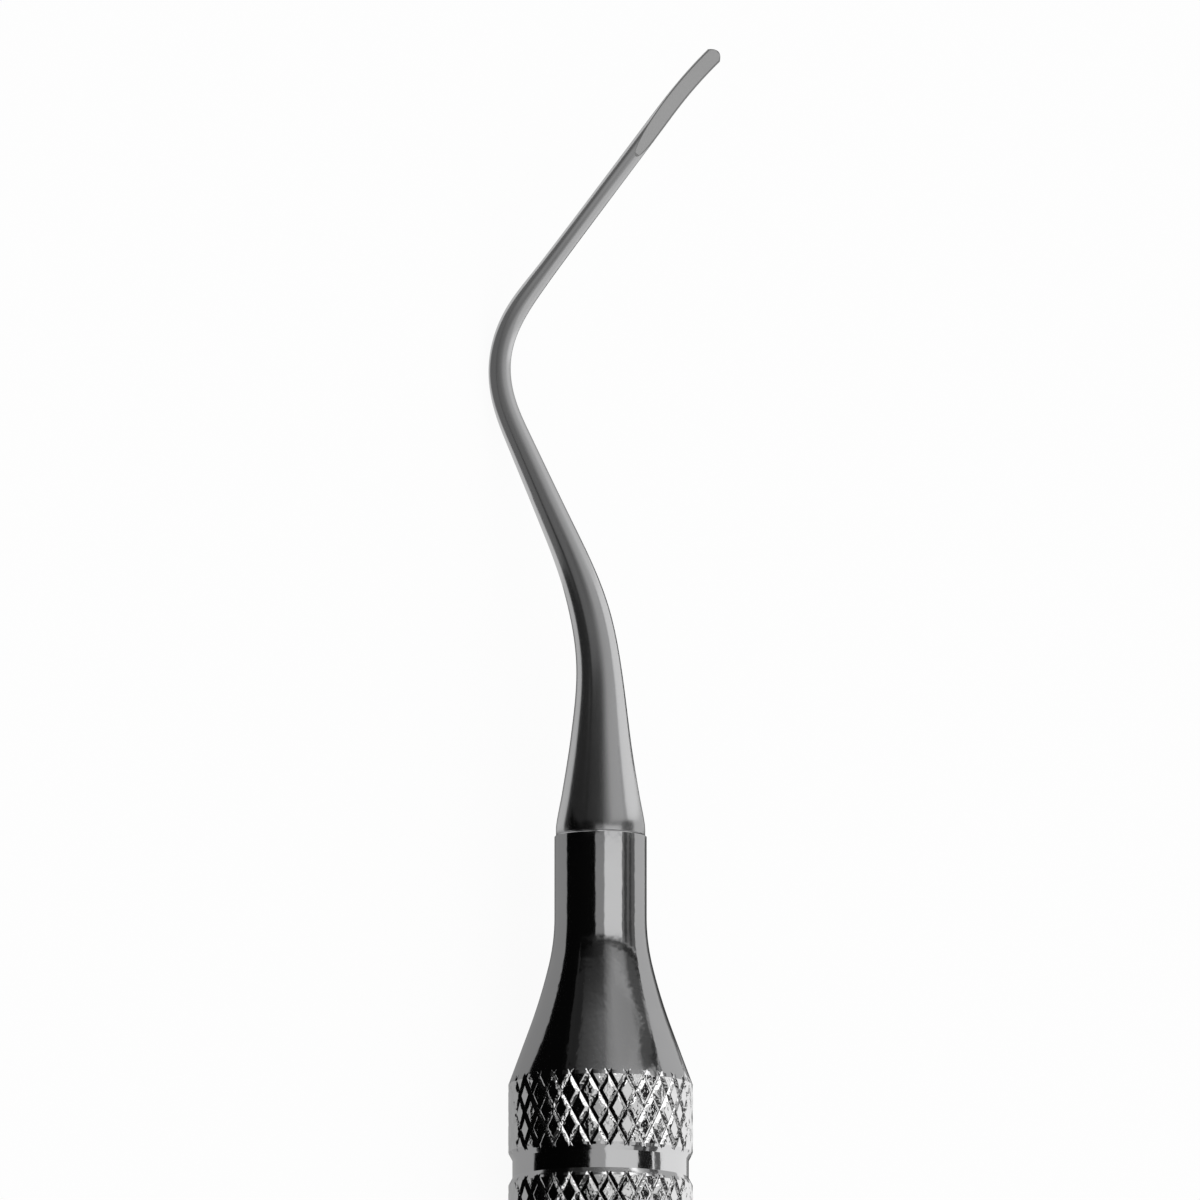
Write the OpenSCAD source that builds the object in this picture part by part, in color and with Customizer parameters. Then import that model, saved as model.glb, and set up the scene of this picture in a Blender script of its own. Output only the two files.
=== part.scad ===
// Root elevator: a slim double-bent working end seated in a knurled round handle.
// It is drawn with its bends flat and the blade's face up, the handle along Y and the tip
// towards +Y, then rolled about the handle's axis to lie on its knurled crests and its elbow.

/* [Handle] */
// Diameter over the crests of the knurling
handle_d = 9.5; // [8.5:0.1:12]
// Length of the handle tube from its nose face to its rear face
handle_l = 124; // [100:1:150]
// How far the smooth barrel lies below the crests
barrel_step = 0.15; // [0.05:0.01:0.3]
// Wall of the hollow tube under the floor of the knurling
wall = 0.8; // [0.6:0.05:1.2]
// Angle of the drill point that ends each bore
drill_point_angle = 118; // [90:1:140]

/* [Nose] */
// Diameter of the straight nose
nose_d = 4.75; // [4.4:0.05:5.6]
// Length of the straight nose
nose_l = 4.2; // [2:0.1:8]
// Radius of the hollow where the nose flares out
flare_r = 10.9; // [6:0.1:16]
// Slope at which the flare passes into the long taper
flare_slope_angle = 13.4; // [8:0.1:16]
// Radius of the long taper
taper_r = 28.8; // [15:0.1:60]
// Slope of the straight cone that runs out to the crests
cone_slope_angle = 20.3; // [17:0.1:26]
// Width of the broken edges at the seam
edge_break = 0.06; // [0.02:0.01:0.12]

/* [Knurling] */
// Grooves round the handle in each direction
knurl_starts = 30; // [20:2:36]
// Lean of the grooves from the handle axis
knurl_lean_angle = 29.5; // [25:0.5:35]
// Depth of the grooves below the crests
knurl_depth = 0.16; // [0.1:0.01:0.2]
// Turn of the first groove crossing to the right of the top line
knurl_turn_angle = 4.9; // [0:0.1:12]
// Half diamonds along the short grip behind the cone
front_grip_rows = 4; // [2:1:6]
// Half diamonds along the long grip
main_grip_rows = 14; // [8:1:16]
// Half diamonds along the rear grip
rear_grip_rows = 4; // [2:1:6]

/* [Rings] */
// Depth of the plain rings below the crests
ring_depth = 0.21; // [0.2:0.01:0.35]
// Length of a ring's floor
ring_floor_l = 0.92; // [0.5:0.01:2]
// Length of the bevel at each end of a ring
ring_bevel_l = 0.4; // [0.3:0.01:0.8]

/* [Working end] */
// Diameter of the shank where it meets the nose
shank_d = 4.6; // [4.2:0.05:4.7]
// Length of the working end along its own curve
stem_l = 45.5; // [43:0.05:50]
// Distance along the stem to the foot of the long cone
neck_at = 8.5; // [7.5:0.1:9.5]
// Diameter at the foot of the long cone
neck_d = 2.36; // [2:0.01:2.8]
// Distance along the stem to the elbow
elbow_at = 21.45; // [20.5:0.05:22.5]
// Diameter where the elbow starts
elbow_d = 1.32; // [1.2:0.01:1.6]
// Distance along the stem to the start of the slim shaft
shaft_at = 31.5; // [31:0.1:33]
// Diameter of the slim shaft
shaft_d = 0.96; // [0.8:0.01:1.1]
// Diameter of the blade
blade_d = 0.91; // [0.7:0.01:1]

/* [Bends] */
// Distance along the stem to the start of the first bend
first_bend_at = 5.65; // [3:0.05:8]
// Length of the first bend
first_bend_l = 10.7; // [6:0.1:12]
// Turn of the first bend to the left
first_bend_angle = 23.8; // [0:0.1:35]
// Length of the elbow
elbow_l = 8.7; // [6:0.1:9]
// Turn of the elbow to the right
elbow_angle = 60.4; // [30:0.1:80]
// Distance along the stem to the sweep of the blade
sweep_at = 40.3; // [36:0.1:42]
// Length over which the blade would take its full sweep
sweep_l = 9.4; // [6:0.1:14]
// Turn of the full sweep of the blade to the right
sweep_angle = 16.6; // [0:0.1:25]

/* [Blade face] */
// Length of the ground face from its heel to the tip
face_l = 7; // [6:0.1:12]
// Radius of the hollow that the heel of the face runs out in
heel_r = 25; // [10:0.5:32]
// Steel left between the stem's axis and the ground face
face_left = 0.07; // [0.02:0.01:0.12]
// Roll of the face to the right of the top line
face_roll_angle = 27; // [0:1:45]
// Length of the rounded tip
tip_l = 0.3; // [0.2:0.01:0.6]

/* [Tang and plug] */
// Diameter of the tang
tang_d = 3; // [2.4:0.05:3.4]
// Length of the tang in the handle
tang_l = 10; // [6:0.1:14]
// Gap all round a seated tang or spigot
seat_gap = 0.02; // [0.01:0.005:0.04]
// Depth of the socket past the end of the tang
socket_spare = 0.6; // [0.2:0.1:1.5]
// Length of the plug's spigot in the tube
spigot_l = 7; // [4:0.5:12]
// Height of the plug's domed cap
cap_h = 1.7; // [1:0.1:3]
// Height of the straight rim of the cap
cap_rim_h = 0.35; // [0.2:0.05:0.6]

/* [Hidden] */
$fn = 96;

// How far one turned surface laps over the next, where they are one piece
lap = 0.01;
// Lead on the edges that enter a bore
lead = 0.3;
// How far the core lies inside the knurled sleeve
sleeve_l = 0.2;
// Overrun of a cut past the face that it opens
overrun = 1;
// Length of the tang that runs on inside the shank
tang_root_l = 2;

// Steps along each turned arc
flare_steps = 6;
taper_steps = 5;
dome_steps = 10;

// Sizes of the knurling
crest_r = handle_d / 2;
floor_r = crest_r - knurl_depth;
start_step = 360 / knurl_starts;
row_l = PI * handle_d / knurl_starts / tan(knurl_lean_angle) / 2;
groove_side_angle = asin(knurl_depth / cos(knurl_lean_angle) / crest_r);
groove_end_l = knurl_depth / sin(knurl_lean_angle);

// Sizes of the tube
barrel_r = crest_r - barrel_step;
bore_r = floor_r - wall;
ring_r = crest_r - ring_depth;
ring_slope = ring_depth / ring_bevel_l;
ring_l = ring_floor_l + 2 * ring_bevel_l;
cone_slope = tan(cone_slope_angle);
drill_slope = 1 / tan(drill_point_angle / 2);
socket_r = tang_d / 2 + seat_gap;
socket_l = tang_l + socket_spare;

// Distances behind the nose face
flare_end = nose_l + flare_r * sin(flare_slope_angle);
flare_end_r = nose_d / 2 + flare_r * (1 - cos(flare_slope_angle));
taper_end = flare_end + taper_r * (sin(cone_slope_angle) - sin(flare_slope_angle));
taper_end_r = flare_end_r + taper_r * (cos(flare_slope_angle) - cos(cone_slope_angle));
front_grip_at = taper_end + (crest_r - taper_end_r) / cone_slope;
front_ring_at = front_grip_at + front_grip_rows * row_l;
main_grip_at = front_ring_at + ring_l;
main_ring_at = main_grip_at + main_grip_rows * row_l;
rear_grip_at = handle_l - ring_bevel_l - rear_grip_rows * row_l;
hollow_at = socket_l + wall + (socket_r + bore_r) * drill_slope;

// Sizes of the swept stem
stem_sides = 28;
face_sides = 7;
curve_steps = 120;
cone_sections = 6;
shaft_sections = 30;
heel_sections = 8;
face_sections = 4;
tip_sections = 5;
tip_step_share = 1 / (tip_sections + 0.4);
rest_corner_angle = 180 * face_sides / stem_sides;
heel_at = stem_l - face_l;
face_deep = blade_d / 2 - face_left;
heel_l = sqrt(2 * heel_r * face_deep);
face_axis = [cos(face_roll_angle), sin(face_roll_angle)];

// Shares along the stretch that each follows, and of the diameter step there
cone_place_shares = [0, 0.07, 0.26, 0.59];
cone_size_shares = [1, 0.985, 0.724, 0.335];
leg_place_shares = [0.27, 0.577];
leg_size_shares = [0.692, 0.315];
elbow_place_shares = [0.4, 0.7];
elbow_size_shares = [0.5, 0.43];
shaft_end_share = 0.45;

function mix(a, b, share) = a + (b - a) * share;
function total(list) = list * [for (item = list) 1];

// Diameters along the stem, each a pair of distance and diameter
stem_sizes = concat(
    [for (i = [0:len(cone_place_shares) - 1])
        [neck_at * cone_place_shares[i], mix(neck_d, shank_d, cone_size_shares[i])]],
    [[neck_at, neck_d]],
    [for (i = [0:len(leg_place_shares) - 1])
        [mix(neck_at, elbow_at, leg_place_shares[i]), mix(elbow_d, neck_d, leg_size_shares[i])]],
    [[elbow_at, elbow_d]],
    [for (i = [0:len(elbow_place_shares) - 1])
        [mix(elbow_at, shaft_at, elbow_place_shares[i]),
         mix(shaft_d, elbow_d, elbow_size_shares[i])]],
    [[shaft_at, shaft_d],
     [mix(shaft_at, stem_l, shaft_end_share), blade_d],
     [stem_l, blade_d]]);

function size_slope(i) =
    i == 0 || i == len(stem_sizes) - 1 ? 0
    : (stem_sizes[i + 1][1] - stem_sizes[i - 1][1]) / (stem_sizes[i + 1][0] - stem_sizes[i - 1][0]);

function size_span(at, i = 0) =
    i == len(stem_sizes) - 2 || at < stem_sizes[i + 1][0] ? i : size_span(at, i + 1);

// Radius of the stem: a smooth curve through the listed diameters
function stem_radius(at) =
    let (i = size_span(at),
         from = stem_sizes[i],
         to = stem_sizes[i + 1],
         span = to[0] - from[0],
         t = (at - from[0]) / span)
    ((2 * t ^ 3 - 3 * t ^ 2 + 1) * from[1] + (t ^ 3 - 2 * t ^ 2 + t) * span * size_slope(i)
     + (3 * t ^ 2 - 2 * t ^ 3) * to[1] + (t ^ 3 - t ^ 2) * span * size_slope(i + 1)) / 2;

// Turn of a bend that eases in and out
function eased(t) = let (u = min(1, max(0, t))) u * u * (3 - 2 * u);

// Heading of the stem, turned to the right of the handle axis
function heading(at) =
    elbow_angle * eased((at - elbow_at) / elbow_l)
    + sweep_angle * eased((at - sweep_at) / sweep_l)
    - first_bend_angle * eased((at - first_bend_at) / first_bend_l);

// Centre of the stem: the sum of small steps along its heading
function centre(at) =
    let (step_l = at / curve_steps,
         headings = [for (i = [0:curve_steps - 1]) heading((i + 0.5) * step_l)])
    [step_l * total([for (h = headings) sin(h)]), step_l * total([for (h = headings) cos(h)]), 0];

// Distance of the ground face from the stem's axis
function face_height(at) =
    let (rise = max(0, heel_at + heel_l - at)) face_left + rise * rise / (2 * heel_r);

// Share of the full section that is left in the blunt rounded tip, whose outline is a parabola
function tip_share(at) = sqrt(min(1, max(0, (stem_l - at) / tip_l)));

// Angles round a section, with the first few spread over its flat
function section_angle(i, corner) =
    i <= face_sides ? corner * (2 * i / face_sides - 1)
    : corner + (360 - 2 * corner) * (i - face_sides) / (stem_sides - face_sides);

// One section of the stem, with its ground flat and, in the tip, drawn in towards the flat
function section(at) =
    let (h = heading(at),
         right = [cos(h), -sin(h), 0],
         up = [0, 0, 1],
         face = face_axis[0] * up + face_axis[1] * right,
         side = face_axis[0] * right - face_axis[1] * up,
         broken = max(0, edge_break - at),
         r = stem_radius(at) - broken,
         flat = at > heel_at ? min(r, face_height(at)) : r,
         corner = flat < r ? acos(flat / r) : rest_corner_angle,
         share = tip_share(at))
    [for (i = [0:stem_sides - 1])
        let (a = section_angle(i, corner),
             reach = flat < r && i <= face_sides ? flat / cos(a) : r)
        centre(at) + face * flat + share * (reach * (face * cos(a) + side * sin(a)) - face * flat)];

// Places of the sections: even steps, with more of them at the seam, the heel and the tip
stem_places = concat(
    [0, edge_break],
    [for (i = [1:cone_sections]) mix(edge_break, neck_at / 2, i / cone_sections)],
    [for (i = [1:shaft_sections]) mix(neck_at / 2, heel_at - lap, i / shaft_sections)],
    [for (i = [0:heel_sections]) heel_at + lap + (heel_l - lap) * (i / heel_sections) ^ 2],
    [for (i = [1:face_sections]) mix(heel_at + heel_l, stem_l - tip_l, i / face_sections)],
    [for (i = [1:tip_sections]) stem_l - tip_l * (1 - tip_step_share * i) ^ 2]);

module swept_stem() {
    count = len(stem_places);
    last = count * stem_sides;
    tip = centre(stem_l) + face_left * [face_axis[1] * cos(heading(stem_l)),
                                        -face_axis[1] * sin(heading(stem_l)), face_axis[0]];
    points = concat([for (at = stem_places) each section(at)], [centre(0)], [tip]);
    faces = [
        for (j = [0:count - 2], i = [0:stem_sides - 1])
            let (a = j * stem_sides + i,
                 b = j * stem_sides + (i + 1) % stem_sides,
                 c = b + stem_sides,
                 d = a + stem_sides)
            each [[a, c, b], [a, d, c]],
        for (i = [0:stem_sides - 1]) [last, i, (i + 1) % stem_sides],
        for (i = [0:stem_sides - 1])
            [last + 1, last - stem_sides + (i + 1) % stem_sides, last - stem_sides + i]];
    polyhedron(points, faces, convexity = 6);
}

// A turned body along Y: its outline gives each radius and its distance behind the nose face
module turned(outline) {
    rotate([-90, 0, 0]) rotate_extrude() polygon([for (p = outline) [p[0], -p[1]]]);
}

module working_end() {
    color("gainsboro") place() {
        swept_stem();
        turned([[0, -tang_root_l], [tang_d / 2, -tang_root_l], [tang_d / 2, tang_l - lead],
                [tang_d / 2 - lead, tang_l], [0, tang_l]]);
    }
}

// A point of the knurling: turned to the right of the top line, at a height along the axis
function knurl_point(a, z, r) = [r * sin(a), -r * cos(a), z];

// One knurled grip, from the crest edge nearest the nose back over a number of half diamonds.
// Its grooves run out over a bevel at each end, whose slopes are given.
module knurled_grip(at, rows, front_slope, rear_slope) {
    n = knurl_starts;
    row_size = 3 * n;
    strip_size = 2 * n;
    strips_base = (rows + 1) * row_size;
    ends_base = strips_base + rows * strip_size;
    end_size = 3 * n + 1;

    function turn_of(j, k) = knurl_turn_angle + start_step * (k + (j % 2) / 2);
    function z_of(j) = -at - j * row_l;
    function crossing(j, k) = j * row_size + 3 * (k % n);
    function left(j, k) = crossing(j, k) + 1;
    function right(j, k) = crossing(j, k) + 2;
    function low(j, k) = strips_base + j * strip_size + 2 * (k % n);
    function high(j, k) = strips_base + (j - 1) * strip_size + 2 * (k % n) + 1;
    function end_point(e, k, which) = ends_base + e * end_size + 3 * ((k + n) % n) + which;
    function end_centre(e) = ends_base + e * end_size + 3 * n;

    // Where the two grooves of a crossing run out over a bevel, and the ridge between them
    function end_points(j, way, slope) =
        let (out_l = knurl_depth / slope,
             out_angle = out_l * tan(knurl_lean_angle) / crest_r * 180 / PI,
             ridge_l = knurl_depth / (sin(knurl_lean_angle) + slope),
             z = z_of(j))
        [for (k = [0:n - 1])
            let (a = turn_of(j, k))
            each [knurl_point(a - out_angle, z + way * out_l, floor_r),
                  knurl_point(a, z + way * ridge_l, crest_r - ridge_l * slope),
                  knurl_point(a + out_angle, z + way * out_l, floor_r)],
         [0, 0, z + way * out_l]];

    points = concat(
        [for (j = [0:rows], k = [0:n - 1])
            let (a = turn_of(j, k))
            each [knurl_point(a, z_of(j), floor_r),
                  knurl_point(a + groove_side_angle, z_of(j), crest_r),
                  knurl_point(a + start_step - groove_side_angle, z_of(j), crest_r)]],
        [for (j = [0:rows - 1], k = [0:n - 1])
            each [knurl_point(turn_of(j, k) + start_step / 2, z_of(j + 1) + groove_end_l, crest_r),
                  knurl_point(turn_of(j + 1, k) + start_step / 2, z_of(j) - groove_end_l, crest_r)]],
        end_points(0, 1, front_slope),
        end_points(rows, -1, rear_slope));

    // The lower half of each diamond with its two flanks, then the upper half of the next row's
    diamonds = [
        for (j = [0:rows - 1], k = [0:n - 1])
            let (c = crossing(j, k),
                 d = crossing(j, k + 1),
                 l = left(j, k),
                 r = right(j, k),
                 b = low(j, k),
                 below = crossing(j + 1, k + j % 2),
                 up_c = crossing(j + 1, k),
                 up_d = crossing(j + 1, k + 1),
                 up_l = left(j + 1, k),
                 up_r = right(j + 1, k),
                 t = high(j + 1, k),
                 above = crossing(j, k + 1 - j % 2))
            each [[l, r, b], [c, l, b], [c, b, below], [r, d, b], [d, below, b],
                  [up_l, t, up_r], [up_c, above, t], [up_c, t, up_l],
                  [t, above, up_d], [t, up_d, up_r]]];

    function end_faces(e, j) = [
        for (k = [0:n - 1])
            let (c = crossing(j, k),
                 l = left(j, k),
                 r = right(j, k),
                 r_before = right(j, k + n - 1),
                 left_out = end_point(e, k, 0),
                 ridge = end_point(e, k, 1),
                 right_out = end_point(e, k, 2),
                 next_out = end_point(e, k + 1, 0),
                 middle = end_centre(e))
            each [[c, right_out, l], [c, ridge, right_out], [c, left_out, ridge],
                  [c, r_before, left_out], [left_out, right_out, ridge],
                  [l, right_out, next_out], [l, next_out, r],
                  [middle, right_out, left_out], [middle, next_out, right_out]]];

    function turned_over(list) = [for (f = list) [f[0], f[2], f[1]]];

    faces = concat(diamonds, end_faces(0, 0), turned_over(end_faces(1, rows)));
    rotate([-90, 0, 0]) polyhedron(points, faces, convexity = 8);
}

// The outline of a knurled stretch's core, from the bevel ahead of it to the bevel behind it
function core_outline(at, rows, front_slope, rear_slope) =
    let (front = at - knurl_depth / front_slope,
         rear = at + rows * row_l + knurl_depth / rear_slope)
    [[floor_r + lap, front],
     [floor_r + lap, front + lap],
     [floor_r - sleeve_l, front + lap],
     [floor_r - sleeve_l, rear - lap],
     [floor_r + lap, rear - lap],
     [floor_r + lap, rear]];

// An arc that bulges towards the axis, by the slope of its ends
function hollow_arc(start_r, start_at, r, from_angle, to_angle, steps) =
    [for (i = [1:steps])
        let (a = mix(from_angle, to_angle, i / steps))
        [start_r + r * (cos(from_angle) - cos(a)), start_at + r * (sin(a) - sin(from_angle))]];

module turned_body() {
    outline = concat(
        [[0, 0], [nose_d / 2 - edge_break, 0], [nose_d / 2, edge_break], [nose_d / 2, nose_l]],
        hollow_arc(nose_d / 2, nose_l, flare_r, 0, flare_slope_angle, flare_steps),
        hollow_arc(flare_end_r, flare_end, taper_r, flare_slope_angle, cone_slope_angle, taper_steps),
        core_outline(front_grip_at, front_grip_rows, cone_slope, ring_slope),
        [[ring_r, front_ring_at + ring_bevel_l], [ring_r, main_grip_at - ring_bevel_l]],
        core_outline(main_grip_at, main_grip_rows, ring_slope, ring_slope),
        [[ring_r, main_ring_at + ring_bevel_l],
         [ring_r, main_ring_at + ring_l - ring_bevel_l],
         [barrel_r, main_ring_at + ring_l - ring_bevel_l + (ring_depth - barrel_step) / ring_slope],
         [barrel_r, rear_grip_at - ring_l + ring_bevel_l - (ring_depth - barrel_step) / ring_slope],
         [ring_r, rear_grip_at - ring_l + ring_bevel_l],
         [ring_r, rear_grip_at - ring_bevel_l]],
        core_outline(rear_grip_at, rear_grip_rows, ring_slope, ring_slope),
        [[ring_r, handle_l], [0, handle_l]]);
    turned(outline);
}

// A drilled hole along the axis, from its mouth in to the corner of its drill point
module drilled(mouth, corner, r) {
    way = corner > mouth ? 1 : -1;
    outer = mouth - way * overrun;
    turned([[0, outer], [r, outer], [r, corner], [0, corner + way * r * drill_slope]]);
}

module handle() {
    color("silver") place() difference() {
        union() {
            turned_body();
            knurled_grip(front_grip_at, front_grip_rows, cone_slope, ring_slope);
            knurled_grip(main_grip_at, main_grip_rows, ring_slope, ring_slope);
            knurled_grip(rear_grip_at, rear_grip_rows, ring_slope, ring_slope);
        }
        drilled(0, socket_l, socket_r);
        drilled(handle_l, hollow_at, bore_r);
    }
}

module end_plug() {
    cap_r = ring_r;
    spigot_r = bore_r - seat_gap;
    dome_h = cap_h - cap_rim_h;
    dome_r = (cap_r * cap_r + dome_h * dome_h) / (2 * dome_h);
    dome_angle = asin(cap_r / dome_r);
    dome = [for (i = [0:dome_steps])
        let (a = dome_angle * (1 - i / dome_steps))
        [dome_r * sin(a), handle_l + cap_h - dome_r * (1 - cos(a))]];
    outline = concat(
        [[0, handle_l - spigot_l], [spigot_r - lead, handle_l - spigot_l],
         [spigot_r, handle_l - spigot_l + lead], [spigot_r, handle_l],
         [cap_r - edge_break, handle_l], [cap_r, handle_l + edge_break]],
        dome);
    color("gainsboro") place() turned(outline);
}

// Sines of the roll at which each place on the elbow's side would touch down beside the crests
touch_sines = [
    for (i = [1:curve_steps])
        let (at = stem_l * i / curve_steps, offset = -centre(at)[0])
        if (offset > 0) (crest_r - stem_radius(at)) / offset];

// Roll in which the part rests: the heavier elbow's side is down
rest_roll_angle = asin(min(concat([1], touch_sines)));

// Lays the part down as it rests, with the middle of its length over the origin
module place() {
    middle = (centre(stem_l)[1] - handle_l - cap_h) / 2;
    translate([0, -middle, crest_r]) rotate([0, -rest_roll_angle, 0]) children();
}

working_end();
handle();
end_plug();
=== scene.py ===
"""Looks of the root elevator: finely modelled steel pieces, a pale floor and soft studio light.

Every piece is drawn in millimetres with the bends flat and the blade's face up, at distances
behind the nose face, and then laid down as the frame lies: rolled about the handle's axis.
"""

import math

import bmesh
import bpy
import numpy as np
from mathutils import Matrix, Vector


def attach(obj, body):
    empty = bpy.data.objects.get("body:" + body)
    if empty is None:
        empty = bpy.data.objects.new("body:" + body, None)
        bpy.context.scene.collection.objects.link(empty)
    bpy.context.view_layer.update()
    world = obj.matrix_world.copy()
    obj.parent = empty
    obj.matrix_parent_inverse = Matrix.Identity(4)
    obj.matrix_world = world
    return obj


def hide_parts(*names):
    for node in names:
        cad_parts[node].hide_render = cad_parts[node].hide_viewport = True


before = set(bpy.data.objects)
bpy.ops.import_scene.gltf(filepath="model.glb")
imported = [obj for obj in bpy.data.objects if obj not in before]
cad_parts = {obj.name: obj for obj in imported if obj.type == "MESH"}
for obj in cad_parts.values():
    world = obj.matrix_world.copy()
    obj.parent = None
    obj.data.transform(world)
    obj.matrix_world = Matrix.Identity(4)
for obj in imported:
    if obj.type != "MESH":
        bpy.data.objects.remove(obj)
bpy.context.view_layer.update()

MM = 0.001
TAU = 2 * math.pi

# Sizes of the handle, in millimetres
HANDLE_D = 9.5
HANDLE_L = 124
BARREL_STEP = 0.15
WALL = 0.8
DRILL_POINT = math.radians(118)
NOSE_D = 4.75
NOSE_L = 4.2
FLARE_R = 10.9
FLARE_SLOPE = math.radians(13.4)
TAPER_R = 28.8
CONE_ANGLE = math.radians(20.3)
EDGE_BREAK = 0.06
KNURL_STARTS = 30
KNURL_LEAN = math.radians(29.5)
KNURL_DEPTH = 0.16
KNURL_TURN = math.radians(4.9)
CREST_ROUND = 0.03
GROOVE_SLOPE = math.tan(math.radians(35))
FRONT_ROWS, MAIN_ROWS, REAR_ROWS = 4, 14, 4
RING_DEPTH = 0.21
RING_FLOOR_L = 0.92
RING_BEVEL_L = 0.4

# Sizes of the working end; a bend is its start, its length and its turn in degrees
SHANK_D = 4.6
STEM_L = 45.5
NECK_AT, NECK_D = 8.5, 2.36
ELBOW_AT, ELBOW_D = 21.45, 1.32
SHAFT_AT, SHAFT_D = 31.5, 0.96
BLADE_D = 0.91
FIRST_BEND = (5.65, 10.7, -23.8)
ELBOW_BEND = (21.45, 8.7, 60.4)
SWEEP_BEND = (40.3, 9.4, 16.6)
FACE_L = 7
HEEL_R = 25
FACE_LEFT = 0.07
FACE_ROLL = math.radians(27)
TIP_L = 0.3
CORNER_R = 0.05

# Sizes of the tang and the plug
TANG_D = 3
TANG_L = 10
SEAT_GAP = 0.02
SOCKET_SPARE = 0.6
SPIGOT_L = 7
CAP_H = 1.7
CAP_RIM_H = 0.35
LEAD = 0.3

# How finely the meshes are drawn
FINE_STEPS = 9000
SOCKET_RINGS, NOSE_RINGS, FLARE_RINGS, TAPER_RINGS = 6, 5, 17, 11
BARREL_RINGS, BORE_RINGS = 8, 6
BODY_RINGS, HEEL_RINGS, FACE_RINGS, TIP_RINGS = 260, 48, 50, 20
ROUND_STEPS, FLAT_STEPS, CORNER_STEPS = 72, 14, 5
PLUG_STEPS, DOME_RINGS = 144, 25
JOINED_WITHIN = 2e-7
LEAST_AREA = 1e-14
TINY = 1e-9

# Radii, slopes and places that follow from the sizes
CREST_R = HANDLE_D / 2
FLOOR_R = CREST_R - KNURL_DEPTH
RING_R = CREST_R - RING_DEPTH
BARREL_R = CREST_R - BARREL_STEP
BORE_R = FLOOR_R - WALL
RING_SLOPE = RING_DEPTH / RING_BEVEL_L
RING_L = RING_FLOOR_L + 2 * RING_BEVEL_L
CONE_SLOPE = math.tan(CONE_ANGLE)
HALF_STEP = math.pi / KNURL_STARTS
LEAN_SHARE = math.cos(KNURL_LEAN)
GROOVE_DEPTH = KNURL_DEPTH * GROOVE_SLOPE
GROOVE_R = CREST_R - GROOVE_DEPTH
HALF_ARC = HALF_STEP * CREST_R
ROW_L = HALF_ARC / math.tan(KNURL_LEAN)
SOCKET_R = TANG_D / 2 + SEAT_GAP
SOCKET_L = TANG_L + SOCKET_SPARE
DRILL_SLOPE = 1 / math.tan(DRILL_POINT / 2)
HOLLOW_AT = SOCKET_L + WALL + (SOCKET_R + BORE_R) * DRILL_SLOPE

FLARE_END = NOSE_L + FLARE_R * math.sin(FLARE_SLOPE)
FLARE_END_R = NOSE_D / 2 + FLARE_R * (1 - math.cos(FLARE_SLOPE))
TAPER_END = FLARE_END + TAPER_R * (math.sin(CONE_ANGLE) - math.sin(FLARE_SLOPE))
TAPER_END_R = FLARE_END_R + TAPER_R * (math.cos(FLARE_SLOPE) - math.cos(CONE_ANGLE))
FRONT_GRIP_AT = TAPER_END + (CREST_R - TAPER_END_R) / CONE_SLOPE
FRONT_RING_AT = FRONT_GRIP_AT + FRONT_ROWS * ROW_L
MAIN_GRIP_AT = FRONT_RING_AT + RING_L
MAIN_RING_AT = MAIN_GRIP_AT + MAIN_ROWS * ROW_L
REAR_GRIP_AT = HANDLE_L - RING_BEVEL_L - REAR_ROWS * ROW_L
HEEL_AT = STEM_L - FACE_L
HEEL_L = math.sqrt(2 * HEEL_R * (BLADE_D / 2 - FACE_LEFT))


def mix(a, b, share):
    """The value that lies a share of the way from a to b."""
    return a + (b - a) * share


# The stem's centre, heading and size along its own curve

STEM_SIZES = [
    (0, SHANK_D),
    (NECK_AT * 0.07, mix(NECK_D, SHANK_D, 0.985)),
    (NECK_AT * 0.26, mix(NECK_D, SHANK_D, 0.724)),
    (NECK_AT * 0.59, mix(NECK_D, SHANK_D, 0.335)),
    (NECK_AT, NECK_D),
    (mix(NECK_AT, ELBOW_AT, 0.27), mix(ELBOW_D, NECK_D, 0.692)),
    (mix(NECK_AT, ELBOW_AT, 0.577), mix(ELBOW_D, NECK_D, 0.315)),
    (ELBOW_AT, ELBOW_D),
    (mix(ELBOW_AT, SHAFT_AT, 0.4), mix(SHAFT_D, ELBOW_D, 0.5)),
    (mix(ELBOW_AT, SHAFT_AT, 0.7), mix(SHAFT_D, ELBOW_D, 0.43)),
    (SHAFT_AT, SHAFT_D),
    (mix(SHAFT_AT, STEM_L, 0.45), BLADE_D),
    (STEM_L, BLADE_D),
]


def stem_radius(at):
    """The stem's radius, as a smooth curve through its sizes."""
    places = np.array([p for p, _ in STEM_SIZES])
    sizes = np.array([d for _, d in STEM_SIZES])
    slopes = np.zeros(len(places))
    slopes[1:-1] = (sizes[2:] - sizes[:-2]) / (places[2:] - places[:-2])
    i = np.clip(np.searchsorted(places, at, side="right") - 1, 0, len(places) - 2)
    span = places[i + 1] - places[i]
    t = (at - places[i]) / span
    return (
        (2 * t**3 - 3 * t**2 + 1) * sizes[i]
        + (t**3 - 2 * t**2 + t) * span * slopes[i]
        + (3 * t**2 - 2 * t**3) * sizes[i + 1]
        + (t**3 - t**2) * span * slopes[i + 1]
    ) / 2


def heading(at):
    """The stem's direction in the plane of its bends, in radians to the right of the axis."""
    turn = 0
    for start, length, angle in (FIRST_BEND, ELBOW_BEND, SWEEP_BEND):
        u = np.clip((at - start) / length, 0, 1)
        turn = turn + angle * u * u * (3 - 2 * u)
    return np.radians(turn)


FINE = np.linspace(0, STEM_L, FINE_STEPS + 1)
MIDS = heading((FINE[1:] + FINE[:-1]) / 2)
CENTRE_X = np.concatenate([[0], np.cumsum(np.sin(MIDS) * np.diff(FINE))])
CENTRE_Y = np.concatenate([[0], np.cumsum(np.cos(MIDS) * np.diff(FINE))])

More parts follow.
